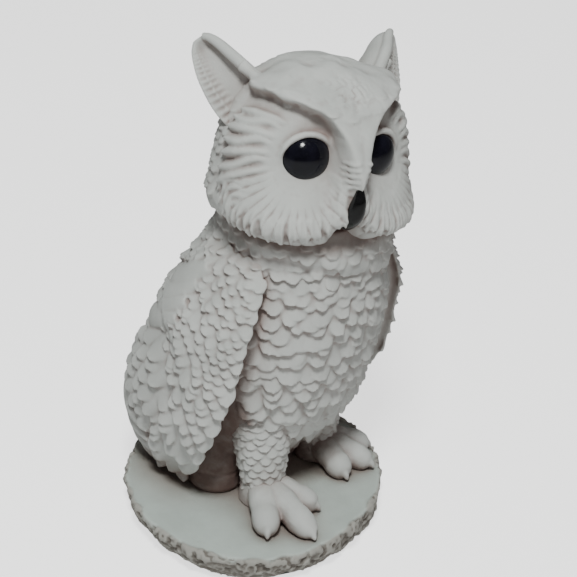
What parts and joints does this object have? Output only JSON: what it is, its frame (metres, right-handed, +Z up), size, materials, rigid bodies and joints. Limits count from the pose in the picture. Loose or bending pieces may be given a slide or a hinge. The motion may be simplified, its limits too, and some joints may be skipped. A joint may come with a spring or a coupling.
{
  "type": "owl figurine",
  "caption": "Standing horned owl figurine with feathered body, folded wings, ear tufts, gloss black eyes and beak, on a rough-edged round plinth.",
  "frame": {"origin": "on the resting face, under the middle of the plinth", "axes": "+Z up, the owl's body faces -Y, its right side is towards -X"},
  "size_m": [0.1698, 0.1468, 0.2726],
  "materials": {
    "white_plaster": "matt white paint on cast plaster",
    "gloss_black": "gloss black",
    "felt": "felt",
    "cork": "plain cork",
    "steel_wire": "drawn wire"
  },
  "bodies": {
    "root": {"plinth": "white_plaster", "felt_sheet": "felt", "vent_plug": "cork", "torso": "white_plaster", "neck_collar": "white_plaster", "head": "white_plaster", "right_ear_tuft": "white_plaster", "left_ear_tuft": "white_plaster", "right_eye": "gloss_black", "left_eye": "gloss_black", "beak": "gloss_black", "right_wing": "white_plaster", "left_wing": "white_plaster", "tail": "white_plaster", "right_leg": "white_plaster", "left_leg": "white_plaster", "right_foot": "white_plaster", "left_foot": "white_plaster", "right_leg_rod": "steel_wire", "left_leg_rod": "steel_wire"}
  },
  "joints": []
}
